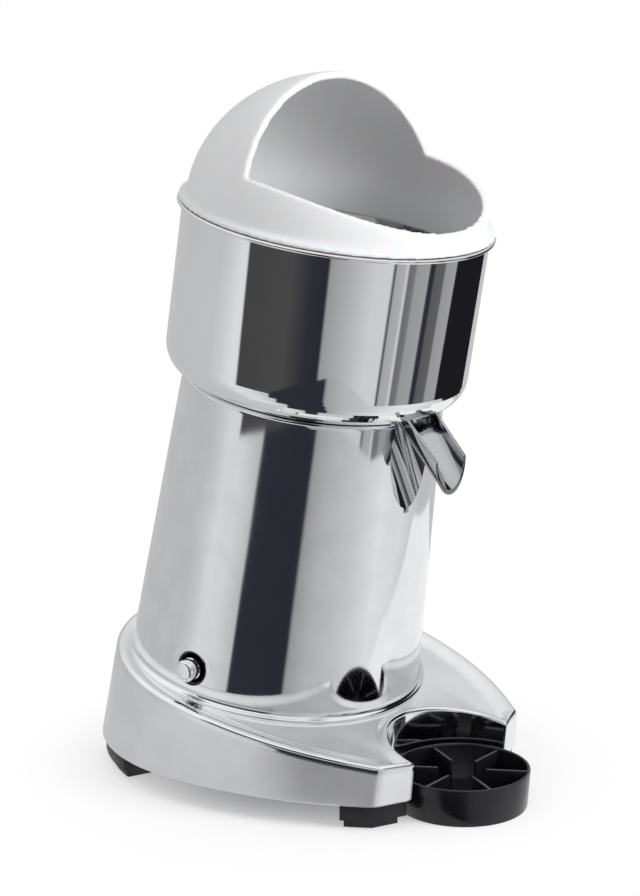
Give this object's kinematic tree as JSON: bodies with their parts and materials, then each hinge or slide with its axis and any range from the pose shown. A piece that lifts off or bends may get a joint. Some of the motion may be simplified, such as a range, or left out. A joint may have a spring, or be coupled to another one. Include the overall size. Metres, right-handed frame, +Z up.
{
  "type": "motor-driven citrus juicer",
  "caption": "Leaning cast-metal citrus juicer with a steel bowl and spout, a moulded splash guard over a ribbed reamer, a horseshoe base and a loose ribbed drip tray.",
  "frame": {"origin": "centre of the footprint, on the table", "axes": "+Z up; -Y is the front, where the spout and the drip tray are; +X is on the right of someone who stands in front and faces the machine. The switch is on the -X side."},
  "size_m": [0.2, 0.2694, 0.3828],
  "materials": {
    "cast_metal": "polished",
    "bowl_steel": "mirror polished",
    "strainer_steel": "satin",
    "plate_steel": "zinc plated",
    "screw_steel": "plain",
    "shaft_steel": "ground",
    "core_steel": "varnished stack",
    "winding_copper": "enamelled",
    "shield_metal": "as cast",
    "bearing_steel": "ground",
    "button_chrome": "polished",
    "rubber": "matte",
    "black_plastic": "satin",
    "white_plastic": "milky",
    "can_plastic": "smooth",
    "block_plastic": "moulded"
  },
  "bodies": {
    "housing": {"body_casting": "cast_metal", "bottom_plate": "plate_steel", "bottom_plate_screws": "screw_steel", "front_left_foot": "rubber", "front_right_foot": "rubber", "rear_left_foot": "rubber", "rear_right_foot": "rubber", "foot_screws": "screw_steel", "bowl_gasket": "rubber", "shaft_seal": "rubber", "stator_core": "core_steel", "upper_winding": "winding_copper", "lower_winding": "winding_copper", "upper_motor_shield": "shield_metal", "lower_motor_shield": "shield_metal", "motor_tie_bolts": "screw_steel", "motor_bushes": "rubber", "motor_screws": "screw_steel", "upper_bearing": "bearing_steel", "lower_bearing": "bearing_steel", "capacitor": "can_plastic", "capacitor_clip": "plate_steel", "terminal_block": "block_plastic", "cord_gland": "black_plastic", "switch_cup": "black_plastic", "switch_nut": "screw_steel", "switch_body": "black_plastic"},
    "spindle": {"motor_shaft": "shaft_steel", "rotor_core": "core_steel", "cooling_fan": "black_plastic", "slinger_disc": "rubber", "drive_pin": "shaft_steel"},
    "reamer": {"reamer": "white_plastic"},
    "bowl": {"bowl": "bowl_steel", "bowl_chimney": "bowl_steel", "spout": "bowl_steel", "strainer": "strainer_steel"},
    "guard": {"splash_guard": "white_plastic"},
    "tray": {"drip_tray": "black_plastic"},
    "button": {"switch_button": "button_chrome"}
  },
  "joints": [
    {"name": "spindle_spin", "type": "hinge", "parent": "housing", "child": "spindle", "pos_m": [0, 0.04375, 0], "axis": [0, -0.1736, 0.9848], "continuous": true},
    {"name": "bowl_lift", "type": "slide", "parent": "housing", "child": "bowl", "axis": [0, -0.1736, 0.9848], "range_m": [0, 0.08]},
    {"name": "reamer_lift", "type": "slide", "parent": "spindle", "child": "reamer", "axis": [0, -0.1736, 0.9848], "range_m": [0, 0.08]},
    {"name": "guard_lift", "type": "slide", "parent": "bowl", "child": "guard", "axis": [0, -0.1736, 0.9848], "range_m": [0, 0.06]},
    {"name": "tray_slide", "type": "slide", "parent": "housing", "child": "tray", "axis": [0, -1, 0], "range_m": [0, 0.06]},
    {"name": "switch_push", "type": "slide", "parent": "housing", "child": "button", "axis": [0.9954, 0.0944, 0.0166], "range_m": [0, 0.003], "stiffness_N_per_m": 300, "springref_m": -0.001}
  ],
  "couplings": [
    {"joint": "reamer_lift", "follows": "bowl_lift", "ratio": 1}
  ]
}
